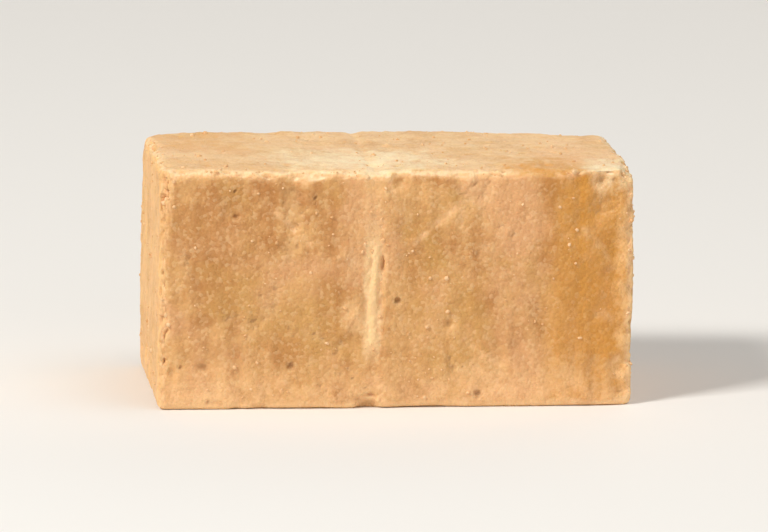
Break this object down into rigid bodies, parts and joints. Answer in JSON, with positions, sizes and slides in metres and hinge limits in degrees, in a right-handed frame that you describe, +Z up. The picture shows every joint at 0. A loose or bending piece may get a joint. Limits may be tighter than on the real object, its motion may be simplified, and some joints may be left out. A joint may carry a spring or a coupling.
{
  "type": "toffee piece",
  "caption": "Oblong block of diced toffee with pale worn edges, chipped corners and a faint cutter's score across its middle; lies on a long side.",
  "frame": {"origin": "middle of the base, under the middle of the bounding box", "axes": "+X along the length, -Y towards the front face that the picture shows, +Z up"},
  "size_m": [0.016, 0.0084, 0.0082],
  "materials": {
    "toffee": "matt, fine sugar grain, pale worn edges"
  },
  "bodies": {
    "root": {"toffee_piece": "toffee"}
  },
  "joints": []
}
